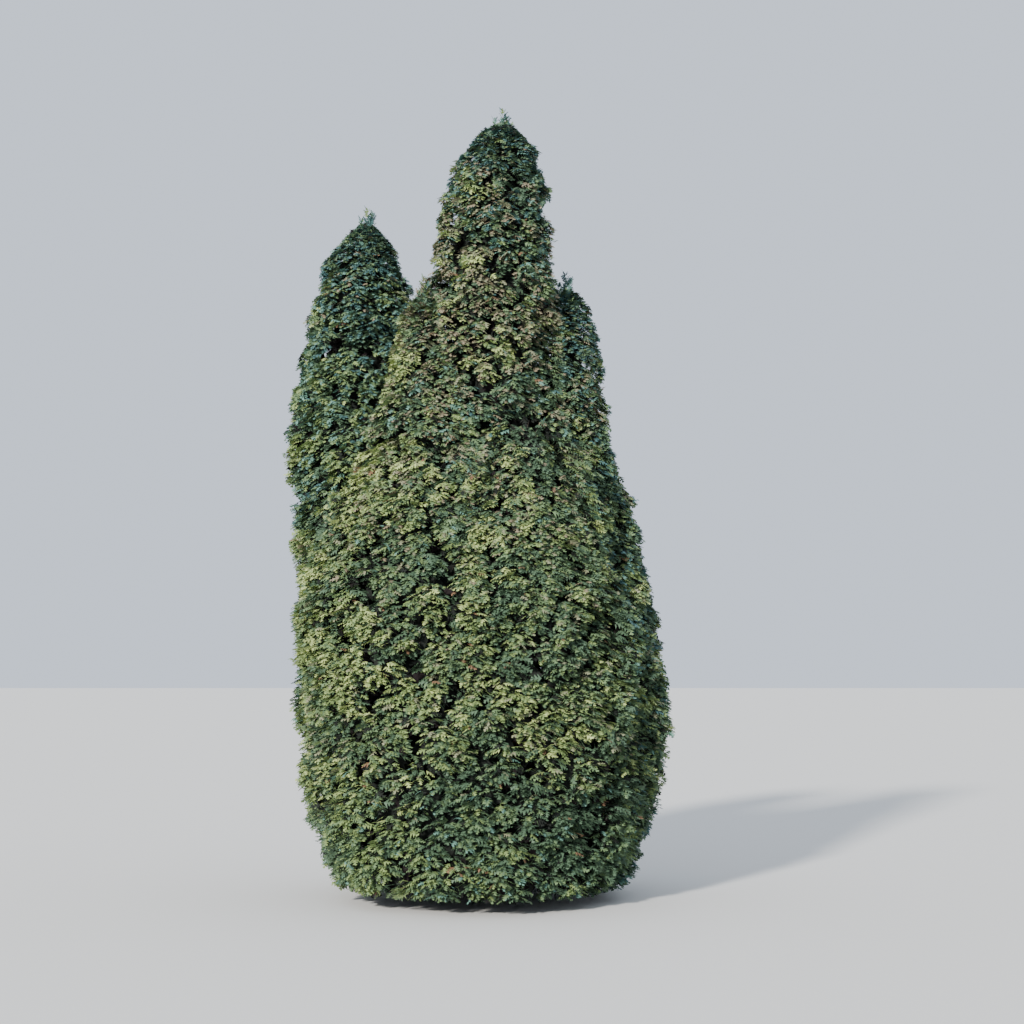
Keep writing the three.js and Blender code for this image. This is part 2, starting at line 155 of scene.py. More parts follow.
# Tufts of sprays round the ends of boughs and twigs
TUFT_FLATNESS = 1.7  # they fan out this much wider than tall
TUFT_BREADTH = 0.6  # mean half breadth, as a share of the spacing
TUFT_EDGE = 1.03  # the hollow round a tuft gets no deeper past this share of the half breadth
TUFT_ROUNDNESS = 4  # power of that share by which a tuft falls off
TUFT_REACH = 0.01  # the middle of a tuft stands out of the mean outline
BOUGH_UNEVENNESS = 0.045  # spread of the reach of whole boughs and twigs
TWIG_UNEVENNESS = 0.04
BOUGH_FAN = (2.0, 0.5)  # radians that sprays fan out for each metre round the crown and up
TWIG_FAN = (7.0, 2.0)
TURN_SPREAD = 0.45  # radians
RISE_SPREAD = 0.13
FULL_RADIUS = 0.36  # where a leader is slimmer, tufts are shallower and sprays shorter
LEAST_FULLNESS = 0.55
BARE_HOLLOW = 0.06  # of the outer sprays deeper than this, only the next share is there
BARE_SHARE = 0.35
CALM_RELIEF = 0.6  # the skirt's hollows are this shallow, as a share of the others
CALM_HEIGHT = 0.7
CALM_SPAN = 1.5
DROOP_GAIN = math.radians(2.4)  # the sprays hang more with each metre above or below
LEVEL_HEIGHT = 1.2
TOP_RISE = math.radians(74)  # the sprays turn upright towards a leader's tip
TOP_DEPTH = 0.16

# Shape of a spray of unit length. Pairs of values run from the first pair of blades to the last.
SPRAY_KINDS = 8
SPRAY_PAIRS = 3
SPRAY_ARCH = 0.28  # drop at its point
SPRAY_CUP = 0.35  # drop for the square of the way to its side
AXIS_WIDTH = 0.07
AXIS_WIDEST = 0.15
BLADE_ROOTS = (0.1, 0.72)
BLADE_STAGGER = 0.03
BLADE_TURNS = (0.9, 0.65)  # radians off the axis
BLADE_TURN_SPREAD = 0.07
BLADE_LENGTHS = (0.66, 0.34)
BLADE_LENGTH_SPREAD = (0.85, 1.15)
LEAF_ROUGHNESS = 0.6
LEAF_IOR = 1.4
OLD_LEAF_IOR = 1.1  # old sprays have lost their wax

# Feathery shoots at the tips
SHOOTS = 9
SHOOT_TOP = 0.045  # the tallest shoot stands this much above its leader's foliage
SHOOT_SPREAD = 0.13
SHOOT_STEP = 0.035
SHOOT_LEAN = 4  # radians for each metre off the middle
SHOOT_LENGTH = 0.2
SHOOT_RADIUS = 0.003
SHOOT_SPRAYS = 18
SHOOT_CLOTHED = 0.9  # sprays stand on this share of a shoot
SHOOT_RISE = math.radians(55)
SHOOT_RISE_GAIN = 0.35  # radians, from a shoot's foot to its tip
SHOOT_SPREADS = (0.3, 0.12, 0.4)  # of its sprays' turn, rise and roll, in radians
SHOOT_SPRAY_LENGTHS = (0.06, 0.04)  # from a shoot's foot to its tip
SHOOT_STALK = 1.15  # way from the shoot to a spray's point, in lengths of the spray

# Boughs
BOUGH = dict(sides=5, steps=5, radius=0.004, radius_gain=0.012, above_fork=0.06, below_top=0.05,
             inset=0.12, bend=0.6, arch=0.12)  # radius_gain: more for each metre of length
STALK_ROOTS = (0.5, 1.0)  # stalks of sprays leave their twig between these shares of it
TUBE_TAPER = 0.75  # share of the radius lost at the tip
STEEP = 0.9  # share of its length that a steep tube rises

# Bark
TRUNK_SIDES = 20
TRUNK_RINGS = 22
STEM_SIDES = 10
STEM_RINGS = 14
LIMB_LEVELS = 2
TRUNK_CROWDING = 1.8  # the rings lie closer together towards the foot, by this power
STEM_CROWDING = 1.5
CUT_HEIGHT = 0.01  # below this the trunk's flat cut stays plain
RIB_INSIDE = 0.5  # a rib takes hold outside this share of the flare's reach
RIB_BREADTH = 1.1  # and this many half sides of the trunk either way
RIB_FALLOFF = 0.9  # it fades over this share of the reach
BARK_STRETCH = 0.12  # breadth of a strip as a share of its length
BARK_CREASE = math.radians(50)

# Stage
FLOOR_SIZE = 120.0
KEY_SOFTNESS = math.radians(5)
KEY_COLOUR = (1.0, 0.96, 0.91)

# Camera, at the photograph's viewing angle
EYE = (0.182, -13.36, 1.68)
PITCH = math.radians(3.72)
SENSOR_WIDTH = 36.0  # mm
LENS = 70.3  # mm


def linear_colour(hex_colour):
    """Linear red, green and blue of an sRGB hex colour."""
    parts = [int(hex_colour[i:i + 2], 16) / 255 for i in (1, 3, 5)]
    return tuple(p / 12.92 if p <= 0.04045 else ((p + 0.055) / 1.055) ** 2.4 for p in parts)


def length_property(name, description, metres):
    return FloatProperty(name=name, description=description, default=metres, min=0.0,
                         subtype="DISTANCE", unit="LENGTH")


def colour_property(name, description, hex_colour):
    return FloatVectorProperty(name=name, description=description, subtype="COLOR", size=3,
                               min=0.0, max=1.0, default=linear_colour(hex_colour))


def angle_property(name, description, degrees):
    return FloatProperty(name=name, description=description, default=math.radians(degrees),
                         subtype="ANGLE", unit="ROTATION")


class CedarCrown(bpy.types.PropertyGroup):
    """Sizes of the crown's sprays and twigs."""
    twig_spacing: length_property("Twig spacing", "Distance between neighbouring twigs", 0.14)
    spray_spacing: length_property("Spray spacing", "Distance between neighbouring sprays", 0.0245)
    shaded_spray_spacing: length_property(
        "Shaded spray spacing", "Distance between the sprays behind the outer ones", 0.036)
    old_spray_spacing: length_property(
        "Old spray spacing", "Distance between the old sprays inside", 0.08)
    spray_length: length_property("Spray length", "Length of an outer spray", 0.06)
    shaded_spray_length: length_property(
        "Shaded spray length", "Length of a spray behind the outer ones", 0.065)
    old_spray_length: length_property("Old spray length", "Length of an old spray inside", 0.15)
    droop: angle_property("Droop", "How far the sprays of the skirt hang below level", 5)
    bough_relief: length_property("Bough relief", "Depth of the hollows between boughs", 0.045)
    twig_relief: length_property("Twig relief", "Depth of the hollows between twigs", 0.04)


class CedarFoliageColours(bpy.types.PropertyGroup):
    """Plain tints that the sprays are dealt."""
    # Fresh green goes more to the sunny side and mid green more to the far side: painted sunlight and
    # shade, on top of the real young and full-grown growth
    fresh_green: colour_property("Fresh green", "Young growth on the sunny side", "#A6B473")
    leaf_green: colour_property("Leaf green", "Full-grown sprays", "#7F935C")
    mid_green: colour_property("Mid green", "Full-grown sprays in less sun", "#677E58")
    # Deep green is dealt to sprays in the hollows as painted shade; elsewhere it is one of the tints
    # that vary at random
    deep_green: colour_property("Deep green", "Sprays in the hollows", "#4D644D")
    blue_green: colour_property("Blue green", "Sprays near the leaders' tips", "#648A7C")
    # Deep blue green is painted shade near the tips
    deep_blue_green: colour_property("Deep blue green", "Shaded sprays near the tips", "#436463")
    olive: colour_property("Olive", "Sprays high on the tree", "#84876A")
    bronze: colour_property("Bronze", "Sprays that sun and cold have browned", "#877D66")
    rust: colour_property("Rust", "Single dead sprays", "#7F634B")
    # Shade green and dead brown are near-black: painted shade inside the crown; dead brown is also
    # the hue of the real dead sprays there
    shade_green: colour_property("Shade green", "Old sprays inside", "#272A27")
    dead_brown: colour_property("Dead brown", "Dead sprays inside", "#262122")


class CedarBark(bpy.types.PropertyGroup):
    """Relief and colours of trunk, stems and twigs."""
    trunk_relief: length_property("Trunk relief", "Depth of the strips of bark", 0.012)
    stem_relief: length_property("Stem relief", "Depth of the strips on the stems", 0.006)
    strip_width: length_property("Strip width", "Width of a strip of bark", 0.012)
    ridge: colour_property("Ridge", "Weathered face of the strips", "#8A7362")
    furrow: colour_property("Furrow", "Fresh bark between the strips", "#4A3226")
    twig: colour_property("Twig", "Bark of boughs and twigs", "#3A2F27")


class CedarStage(bpy.types.PropertyGroup):
    """Floor and studio light."""
    floor: colour_property("Floor", "Plain pale floor", "#D9D8D4")
    room: colour_property("Room", "Soft light from all round", "#D3DDEC")
    room_strength: FloatProperty(name="Room strength", description="Soft light from all round",
                                 default=1.3, min=0.0)
    key_strength: FloatProperty(name="Key strength", description="Large lamp behind the viewer",
                                default=6.0, min=0.0)
    key_side: angle_property("Key side", "How far left of the viewer the key lamp stands", 27)
    key_height: angle_property("Key height", "Height of the key lamp above level", 25)


# Growth rule

def seeded_random(seed):
    """Numbers from 0 to 1 by the source's 32-bit linear rule."""
    state = seed
    while True:
        state = (state * 1664525 + 1013904223) % 4294967296
        yield state / 4294967296


def between(draw, low, high):
    return low + (high - low) * draw


def smooth(x):
    """Smooth step from 0 to 1."""
    x = np.clip(x, 0, 1)
    return x * x * (3 - 2 * x)


def direction_of(angle, rise):
    """Unit vectors that point along an angle about Z and a rise above level."""
    return np.stack([np.cos(angle) * np.cos(rise), np.sin(angle) * np.cos(rise), np.sin(rise)], -1)


def unit(vectors):
    return vectors / np.linalg.norm(vectors, axis=-1, keepdims=True)


def axis_at(leader, height):
    """Middle of a leader's column of foliage at some heights."""
    t = np.clip(np.asarray(height) / leader["tip"][2], 0, 1)[..., None]
    foot, knee, tip = (np.array(leader[key][:2]) for key in ("foot", "knee", "tip"))
    return (1 - t) ** 2 * foot + 2 * t * (1 - t) * knee + t ** 2 * tip


def radius_at(leader, height):
    """Outer radius of a leader's foliage at some heights."""
    depth = np.maximum(leader["tip"][2] - height, 0)
    top = leader["shoulder"] * (1 - np.exp(-depth / leader["rounding"]))
    merged = smooth((SWELL_TOP - height) / (SWELL_TOP - SWELL_BASE))
    full = top + leader["widening"] * depth + leader["swell"] * merged
    tuck = TUCK * np.maximum(1 - height / TUCK_HEIGHT, 0)
    rounded = FOOT_ROUND * np.maximum(1 - height / FOOT_ROUND_HEIGHT, 0) ** 2
    return np.minimum(full, leader["belly"]) * (1 - tuck - rounded)


def lumpy_radius(leader, angle, height):
    """The same radius with the soft lumps of the crown."""
    share = 1
    for around, up, depth in LUMPS:
        share = share + depth * np.sin(around * angle + up * height + leader["seed"])
    return radius_at(leader, height) * share


def height_of_level(level, radius):
    """Tiers of foliage rise outwards. A level is a tier's height at the axis of its leader."""
    return level + LEVEL_SLOPE * np.minimum(level / LEVEL_SLOPE_HEIGHT, 1) * radius


def stem_axis(leader, height):
    """Middle of the stem that carries a leader, or of the trunk under the main one."""
    trunk = axis_at(LEADERS[0], height)
    if leader is LEADERS[0]:
        return trunk
    share = (height - leader["fork"]) / (STEM_UPRIGHT_HEIGHT - leader["fork"])
    left = np.clip(1 - share, 0, 1)[..., None]
    return trunk + (axis_at(leader, height) - trunk) * (1 - left * left)


def limb_radius(leader, height):
    """Radius of a stem, or of the trunk under the main leader."""
    if leader is LEADERS[0]:
        flare = FLARE_SPREAD * math.exp(-height / FLARE_HEIGHT)
        return TRUNK_RADIUS * (1 - TRUNK_TAPER * height / leader["tip"][2]) + flare
    share = (height - leader["fork"]) / (leader["tip"][2] - leader["fork"])
    return STEM_RADIUS * (1 - STEM_TAPER * share)


def limb_top(leader):
    return leader["tip"][2] - LIMB_TIP_DEPTH


def leader_sites(leader, spacing, seed, last_depth):
    """Sites set round a leader by the golden angle, from its foot to its tip."""
    random = seeded_random(seed)
    rows = []
    level = leader.get("bottom", FOLIAGE_FOOT) + FIRST_LEVEL
    while level < leader["tip"][2] - last_depth:
        rows.append([level] + [next(random) for _ in range(4)])
        widest = max(float(radius_at(leader, level)), LEAST_RADIUS)
        level += spacing ** 2 / (2 * math.pi * widest)
    level, turn, reach, _, roll = np.array(rows).T  # one draw only tilts the source's own sprays
    angle = np.arange(len(level)) * GOLDEN_ANGLE + between(turn, -SITE_TURN, SITE_TURN)
    height = np.minimum(height_of_level(level, radius_at(leader, level)), leader["tip"][2])
    radius = lumpy_radius(leader, angle, height) * between(reach, *SITE_REACH)
    outwards = direction_of(angle, np.zeros_like(angle))
    point = outwards * radius[:, None]
    point[:, :2] += axis_at(leader, height)
    point[:, 2] = height
    return dict(level=level, angle=angle, radius=radius, outwards=outwards, point=point, roll=roll)


def depths_in_leaders(point):
    """How deep points lie in each leader's foliage, negative outside, and each one's outwards."""
    height = point[:, 2]
    depths, outwards = [], []
    for leader in LEADERS:
        offset = point[:, :2] - axis_at(leader, height)
        distance = np.maximum(np.linalg.norm(offset, axis=1), LEAST_DISTANCE)
        above = ABOVE_SHARE * np.maximum(height - leader["tip"][2], 0)
        depths.append(radius_at(leader, height) - np.hypot(distance, above))
        outwards.append(offset / distance[:, None])
    return np.array(depths), np.array(outwards)


def kept(sites, mask):
    return {key: values[mask] for key, values in sites.items()}


def nearest(points, targets):
    """Index of the nearest target for each point, where height counts more than breadth."""
    found = np.empty(len(points), int)
    stretch = (1.0, 1.0, TUFT_FLATNESS)
    for start in range(0, len(points), BLOCK):
        block = (points[start:start + BLOCK, None] - targets[None]) * stretch
        found[start:start + BLOCK] = (block ** 2).sum(2).argmin(1)
    return found


def offset_from(sites, targets, index):
    """How far sites lie round the crown and up from their targets."""
    offset = sites["point"] - targets["point"][index]
    round_crown = np.stack([-np.sin(sites["angle"]), np.cos(sites["angle"])], -1)
    return (offset[:, :2] * round_crown).sum(1), offset[:, 2]


def outline_at(leader, point):
    """Depth in the neighbours' foliage, and how far and which way the smooth outline lies."""
    depths, outwards = depths_in_leaders(point)
    own = LEADERS.index(leader)
    height = point[:, 2]
    softness = between(smooth((height - SOFT_TOP) / SOFT_SPAN), *SEAM_SOFTNESS)
    share = np.exp((depths - depths[own]) / softness)
    inset = SKIRT_INSET * smooth((SKIRT_TOP - height) / SKIRT_SPAN)
    fill = softness * np.log(share.sum(0)) - inset
    blend = (outwards * (share / share.sum(0))[:, :, None]).sum(0)
    return np.delete(depths, own, axis=0).max(0), fill, blend


def unburied(leader, sites, deepest):
    """Sites that stay clear of the neighbours, moved to the smooth outline round them all."""
    buried, fill, blend = outline_at(leader, sites["point"])
    steepness = np.linalg.norm(blend, axis=1)
    sites["outwards"][:, :2] = blend / steepness[:, None]
    sites["angle"] = np.arctan2(blend[:, 1], blend[:, 0])
    sites["point"] += sites["outwards"] * (fill / np.maximum(steepness, LEAST_STEEPNESS))[:, None]
    return kept(sites, buried < deepest)


def drawn_in(leader, sites, deepest):
    """Sites inside the crown, on their own leader's outline or, in the skirt, further in."""
    buried, fill, _ = outline_at(leader, sites["point"])
    sites["point"] += sites["outwards"] * np.minimum(fill, 0)[:, None]
    return kept(sites, buried < deepest)


def layer_sites(leader, layer, spacing):
    """Sites of twigs or of one layer of sprays, clear of the neighbours' foliage."""
    sites = leader_sites(leader, spacing, leader["seed"] + layer["seed"], layer["last_depth"])
    settle = drawn_in if layer is OLD else unburied
    return settle(leader, sites, layer["buried"])


@functools.cache
def grown(order, twig_spacing, *spray_spacings):
    """Boughs, twigs and sprays of one leader, each finer step tied to the one before."""
    leader = LEADERS[order]
    boughs = leader_sites(leader, BOUGH_SPACING, leader["seed"], LAST_BOUGH_DEPTH)
    twigs = layer_sites(leader, TWIG, twig_spacing)
    twigs["bough"] = nearest(twigs["point"], boughs["point"])
    growth = dict(leader=leader, boughs=boughs, twigs=twigs)
    for (name, layer), spacing in zip(LAYERS.items(), spray_spacings):
        sites = layer_sites(leader, layer, spacing)
        sites["twig"] = nearest(sites["point"], twigs["point"])
        sites["bough"] = twigs["bough"][sites["twig"]]
        growth[name] = sites
    return growth


def all_growth():
    crown = bpy.context.scene.cedar_crown
    spacings = (crown.twig_spacing, crown.spray_spacing, crown.shaded_spray_spacing,
                crown.old_spray_spacing)
    return [grown(order, *spacings) for order in range(len(LEADERS))]


def curve_point(start, bend, end, t):
    """Points on quadratic curves, each at its own share t of the way."""
    t = np.asarray(t)[..., None]
    return (1 - t) ** 2 * start + 2 * t * (1 - t) * bend + t ** 2 * end


def bough_curves(growth):
    """Boughs rise from their limb and arch over under the outline."""
    leader = growth["leader"]
    boughs = growth["boughs"]
    lowest = leader["fork"] + BOUGH["above_fork"]
    height = np.clip(boughs["level"], lowest, limb_top(leader) - BOUGH["below_top"])
    start = np.concatenate([stem_axis(leader, height), height[:, None]], 1)
    end = boughs["point"] - boughs["outwards"] * BOUGH["inset"]
    bend = start + (end - start) * BOUGH["bend"]
    bend[:, 2] += BOUGH["arch"] * np.linalg.norm(end - start, axis=1)
    return start, bend, end


def twig_curves(growth, relief):
    """Twigs leave the outer half of their bough and fan out to their own sites."""
    start, bend, end = (part[growth["twigs"]["bough"]] for part in bough_curves(growth))
    twigs = growth["twigs"]
    u, v = offset_from(twigs, growth["boughs"], twigs["bough"])
    spread = np.clip(np.hypot(u, v) / BOUGH_SPACING, 0, 1)
    origin = curve_point(start, bend, end, between(spread, *TWIG["roots"]))
    tip = twigs["point"] - twigs["outwards"] * (TWIG["inset"] + relief * spread[:, None] ** 2)
    middle = (origin + tip) / 2
    middle[:, 2] += TWIG["arch"] * np.linalg.norm(tip - origin, axis=1)
    return origin, middle, tip


def joints(growth, sites, crown, random):
    """Where the stalks of sprays leave the outer half of their twigs."""
    start, bend, end = (part[sites["twig"]] for part in twig_curves(growth, crown.bough_relief))
    return curve_point(start, bend, end, random.uniform(*STALK_ROOTS, len(sites["level"])))


def sprays_at(growth, sites, crown, random):
    """Depth, angle and rise of sprays in tufts on boughs and twigs, and how full their leader is."""
    count = len(sites["level"])
    bough_u, bough_v = offset_from(sites, growth["boughs"], sites["bough"])
    twig_u, twig_v = offset_from(sites, growth["twigs"], sites["twig"])
    breadth = TUFT_BREADTH * math.sqrt(TUFT_FLATNESS)
    bough_share = np.hypot(bough_u, TUFT_FLATNESS * bough_v) / (breadth * BOUGH_SPACING)
    twig_share = np.hypot(twig_u, TUFT_FLATNESS * twig_v) / (breadth * crown.twig_spacing)
    fullness = np.clip(sites["radius"] / FULL_RADIUS, LEAST_FULLNESS, 1.0)
    calmness = between(smooth((sites["point"][:, 2] - CALM_HEIGHT) / CALM_SPAN), CALM_RELIEF, 1.0)
    recess = crown.bough_relief * np.clip(bough_share, 0, TUFT_EDGE) ** TUFT_ROUNDNESS
    recess += crown.twig_relief * np.clip(twig_share, 0, TUFT_EDGE) ** TUFT_ROUNDNESS
    recess += BOUGH_UNEVENNESS * (growth["boughs"]["roll"][sites["bough"]] - 0.5)
    recess += TWIG_UNEVENNESS * (growth["twigs"]["roll"][sites["twig"]] - 0.5)
    recess = (recess * calmness - TUFT_REACH) * fullness
    tip_depth = growth["leader"]["tip"][2] - sites["point"][:, 2]
    tuck, reach = (TIP_TUCK, TOP_DEPTH) if growth["leader"]["feathery"] else (DOME_TUCK, DOME_DEPTH)
    recess += tuck * np.exp(-tip_depth / reach)
    angle = sites["angle"] + BOUGH_FAN[0] * bough_u + TWIG_FAN[0] * twig_u
    angle += random.normal(0, TURN_SPREAD, count)
    droop = crown.droop + DROOP_GAIN * np.abs(sites["point"][:, 2] - LEVEL_HEIGHT)
    rise = BOUGH_FAN[1] * bough_v + TWIG_FAN[1] * twig_v + random.normal(0, RISE_SPREAD, count)
    return recess, angle, rise - droop, fullness


def spray_places(growth, crown):
    """Place, direction, roll and length of each outer spray of a leader."""
    leader = growth["leader"]
    sprays = growth["sprays"]
    count = len(sprays["level"])
    random = np.random.default_rng(leader["seed"] + DETAIL_SEED)
    recess, angle, rise, fullness = sprays_at(growth, sprays, crown, random)
    tip = sprays["point"] - sprays["outwards"] * recess[:, None]
    if leader["feathery"]:
        rise += (TOP_RISE - rise) * np.exp(-(leader["tip"][2] - tip[:, 2]) / TOP_DEPTH)
    length = crown.spray_length * between(fullness, OUTER["steady"], 1)
    length *= random.uniform(*OUTER["lengths"], count)
    tip[:, 2] = np.maximum(tip[:, 2], GROUND_CLEARANCE)
    places = dict(tip=tip, angle=angle, rise=rise, roll=random.normal(0, OUTER["roll"], count),
                  length=length, recess=recess, kind=random.integers(0, SPRAY_KINDS, count),
                  joint=joints(growth, sprays, crown, random),
                  twig=sprays["twig"], bough=sprays["bough"], site_angle=sprays["angle"])
    return kept(places, (recess < BARE_HOLLOW) | (random.random(count) < BARE_SHARE))


def shaded_spray_places(growth, crown):
    """The same for the shaded sprays behind the outer ones."""
    shaded = growth["shaded"]
    count = len(shaded["level"])
    random = np.random.default_rng(growth["leader"]["seed"] + SHADED["seed"])
    recess, angle, rise, fullness = sprays_at(growth, shaded, crown, random)
    recess = recess + random.uniform(*SHADED["behind"], count) * fullness
    tip = shaded["point"] - shaded["outwards"] * recess[:, None]
    tip[:, 2] = np.maximum(tip[:, 2], SHADED["clearance"])
    roll = random.normal(0, SHADED["roll"], count)
    length = crown.shaded_spray_length * between(fullness, SHADED["steady"], 1)
    length *= random.uniform(*SHADED["lengths"], count)
    return dict(tip=tip, angle=angle, rise=rise - SHADED["droop"], roll=roll, length=length,
                recess=recess, kind=random.integers(0, SPRAY_KINDS, count),
                joint=joints(growth, shaded, crown, random))


def old_spray_places(growth, crown):
    """The same for the old sprays deep inside, which hang steeply and face outwards."""
    leader = growth["leader"]
    old = growth["old"]
    count = len(old["level"])
    random = np.random.default_rng(leader["seed"] + OLD["seed"])
    recess = sprays_at(growth, old, crown, random)[0]
    depth = np.minimum(recess + random.uniform(*OLD["behind"], count),
                       random.uniform(*OLD["deepest"], count) * old["radius"])
    length = np.minimum(crown.old_spray_length, OLD["longest"] * old["radius"])
    length *= random.uniform(*OLD["lengths"], count)
    height = np.maximum(old["point"][:, 2] - OLD["hang"] * length, OLD["clearance"])
    tuck = radius_at(leader, old["point"][:, 2]) - radius_at(leader, height)
    tip = old["point"] - old["outwards"] * (depth + np.maximum(tuck, 0))[:, None]
    tip[:, 2] = height
    return dict(tip=tip, angle=old["angle"] + random.normal(0, OLD["turn"], count),
                rise=random.normal(OLD["rise"], OLD["tilt"], count),
                roll=random.normal(0, OLD["roll"], count), length=length,
                recess=depth, kind=random.integers(0, SPRAY_KINDS, count),
                joint=joints(growth, old, crown, random))


def shoot_curves(leader):
    """The feathery shoots at a leader's tip, the tallest in the middle."""
    shoot = np.arange(SHOOTS)
    turn = leader["seed"] + shoot * GOLDEN_ANGLE
    spread = SHOOT_SPREAD * np.sqrt(shoot / SHOOTS)
    end = np.stack([spread * np.cos(turn), spread * np.sin(turn), SHOOT_TOP - SHOOT_STEP * shoot], -1)
    end += np.array(leader["tip"])
    start = end - direction_of(turn, math.pi / 2 - SHOOT_LEAN * spread) * SHOOT_LENGTH
    return start, (start + end) / 2, end


def shoot_places(growth):
    """Small sprays fan out up and round the feathery shoots at a leader's tip."""
    leader = growth["leader"]
    random = np.random.default_rng(leader["seed"] + SHOOT_SEED)
    count = SHOOTS * SHOOT_SPRAYS
    step = np.arange(count) % SHOOT_SPRAYS
    share = step / (SHOOT_SPRAYS - 1)
    start, bend, end = (np.repeat(part, SHOOT_SPRAYS, axis=0) for part in shoot_curves(leader))
    turn_spread, rise_spread, roll_spread = SHOOT_SPREADS
    joint = curve_point(start, bend, end, SHOOT_CLOTHED * share)
    angle = step * GOLDEN_ANGLE + random.normal(0, turn_spread, count)
    rise = SHOOT_RISE + SHOOT_RISE_GAIN * share + random.normal(0, rise_spread, count)
    length = between(share, *SHOOT_SPRAY_LENGTHS)
    tip = joint + direction_of(angle, rise) * (SHOOT_STALK * length)[:, None]
    return dict(tip=tip, angle=angle, rise=rise, roll=random.normal(0, roll_spread, count),
                length=length, recess=np.zeros(count), kind=step % SPRAY_KINDS, joint=joint)


# Shapes

def spray_template(kind, width):
    """Corners and triangles of a flat spray of unit length, a slim axis with pairs of blades.

    The first corner is the end of the stalk, which is moved to its joint with the twig.
    """
    random = np.random.default_rng(kind + 1)
    flat = [[0.0, 0.0], [AXIS_WIDEST, AXIS_WIDTH / 2], [1.0, 0.0], [AXIS_WIDEST, -AXIS_WIDTH / 2]]
    triangles = [[0, 3, 1], [3, 2, 1]]
    for pair in range(SPRAY_PAIRS):
        share = pair / (SPRAY_PAIRS - 1)
        for side in (-1, 1):
            root = between(share, *BLADE_ROOTS) + BLADE_STAGGER * side
            turn = between(share, *BLADE_TURNS) + random.normal(0, BLADE_TURN_SPREAD)
            length = between(share, *BLADE_LENGTHS) * random.uniform(*BLADE_LENGTH_SPREAD)
            first = len(flat)
            flat += [[root, 0.0], [root + width, 0.0],
                     [root + length * math.cos(turn), side * length * math.sin(turn)]]
            triangles.append([first, first + 1, first + 2][::side])
    flat = np.array(flat)
    drop = -SPRAY_ARCH * flat[:, 0] ** 2 - SPRAY_CUP * flat[:, 1] ** 2
    return np.column_stack([flat, drop]), np.array(triangles)


def spray_mesh(places, width):
    """All corners and triangles of some sprays, and the spray that each triangle belongs to."""
    along = direction_of(places["angle"], places["rise"])
    level = np.stack([-np.sin(places["angle"]), np.cos(places["angle"]),
                      np.zeros_like(places["angle"])], -1)
    face = np.cross(along, level)
    roll = places["roll"][:, None]
    across = level * np.cos(roll) + face * np.sin(roll)
    face = np.cross(along, across)
    all_corners, all_triangles, owners = [], [], []
    first = 0
    for kind in range(SPRAY_KINDS):
        corners, triangles = spray_template(kind, width)
        chosen = np.flatnonzero(places["kind"] == kind)
        size = places["length"][chosen, None, None]
        x, y, z = (corners[None, :, i, None] for i in range(3))
        placed = places["tip"][chosen, None] + size * (
            (x - 1) * along[chosen, None] + y * across[chosen, None] + z * face[chosen, None])
        placed[:, 0] = places["joint"][chosen]
        all_corners.append(placed.reshape(-1, 3))
        starts = first + np.arange(len(chosen))[:, None, None] * len(corners)
        all_triangles.append((starts + triangles[None]).reshape(-1, 3))
        owners.append(np.repeat(chosen, len(triangles)))
        first += len(chosen) * len(corners)
    corners = np.concatenate(all_corners)
    corners[:, 2] = np.maximum(corners[:, 2], GROUND_CLEARANCE / 2)
    return corners, np.concatenate(all_triangles), np.concatenate(owners)


def tapered_tubes(start, bend, end, radius, limb):
    """Slim tapering tubes along quadratic curves, closed at both ends."""
    sides, steps = limb["sides"], limb["steps"]
    chord = end - start
    upright = np.abs(chord[:, 2]) > STEEP * np.linalg.norm(chord, axis=1)
    guide = np.where(upright[:, None], [1.0, 0.0, 0.0], [0.0, 0.0, 1.0])
    side = unit(np.cross(chord, guide))
    other = unit(np.cross(chord, side))
    turns = np.arange(sides) * 2 * math.pi / sides
    rim = side[:, None] * np.cos(turns)[None, :, None] + other[:, None] * np.sin(turns)[None, :, None]
    rings = []
    for step in range(steps):
        share = step / steps
        middle = curve_point(start, bend, end, np.full(len(start), share))
        rings.append(middle[:, None] + rim * (radius * (1 - TUBE_TAPER * share))[:, None, None])
    corners = np.concatenate(rings + [end[:, None]], axis=1)
    triangles = [[0, k + 1, k] for k in range(1, sides - 1)]
    for step in range(steps):
        for k in range(sides):
            a = step * sides + k
            b = step * sides + (k + 1) % sides
            if step == steps - 1:
                triangles.append([a, b, steps * sides])
            else:
                triangles += [[a, b, b + sides], [a, b + sides, a + sides]]
    starts = np.arange(len(start))[:, None, None] * corners.shape[1]
    return corners.reshape(-1, 3), (starts + np.array(triangles)[None]).reshape(-1, 3)


def joined(parts):
    """One set of corners and triangles from several."""
    corners = np.concatenate([part[0] for part in parts])
    firsts = np.cumsum([0] + [len(part[0]) for part in parts[:-1]])
    return corners, np.concatenate([part[1] + first for part, first in zip(parts, firsts)])


def array_piece(name, corners, triangles, materials, material_index):
    """A mesh object from arrays of corners and triangles."""
    mesh = bpy.data.meshes.new(name)
    mesh.vertices.add(len(corners))
    mesh.vertices.foreach_set("co", corners.astype(np.float32).ravel())
    mesh.loops.add(triangles.size)
    mesh.loops.foreach_set("vertex_index", triangles.astype(np.int32).ravel())
    mesh.polygons.add(len(triangles))
    mesh.polygons.foreach_set("loop_start", np.arange(0, triangles.size, 3, dtype=np.int32))
    for material in materials:
        mesh.materials.append(material)
    mesh.polygons.foreach_set("material_index", material_index.astype(np.int32))
    mesh.update(calc_edges=True)
    piece = bpy.data.objects.new(name, mesh)
    bpy.context.scene.collection.objects.link(piece)
    return piece


# Materials

def add_node(material, kind, settings=None, links=None):
    """A shader node with its settings, and links from other nodes' outputs to its inputs."""
    node = material.node_tree.nodes.new(kind)
    for key, value in (settings or {}).items():
        if key in node.inputs:
            node.inputs[key].default_value = value
        else:
            setattr(node, key, value)
    for key, output in (links or {}).items():
        material.node_tree.links.new(output, node.inputs[key])
    return node


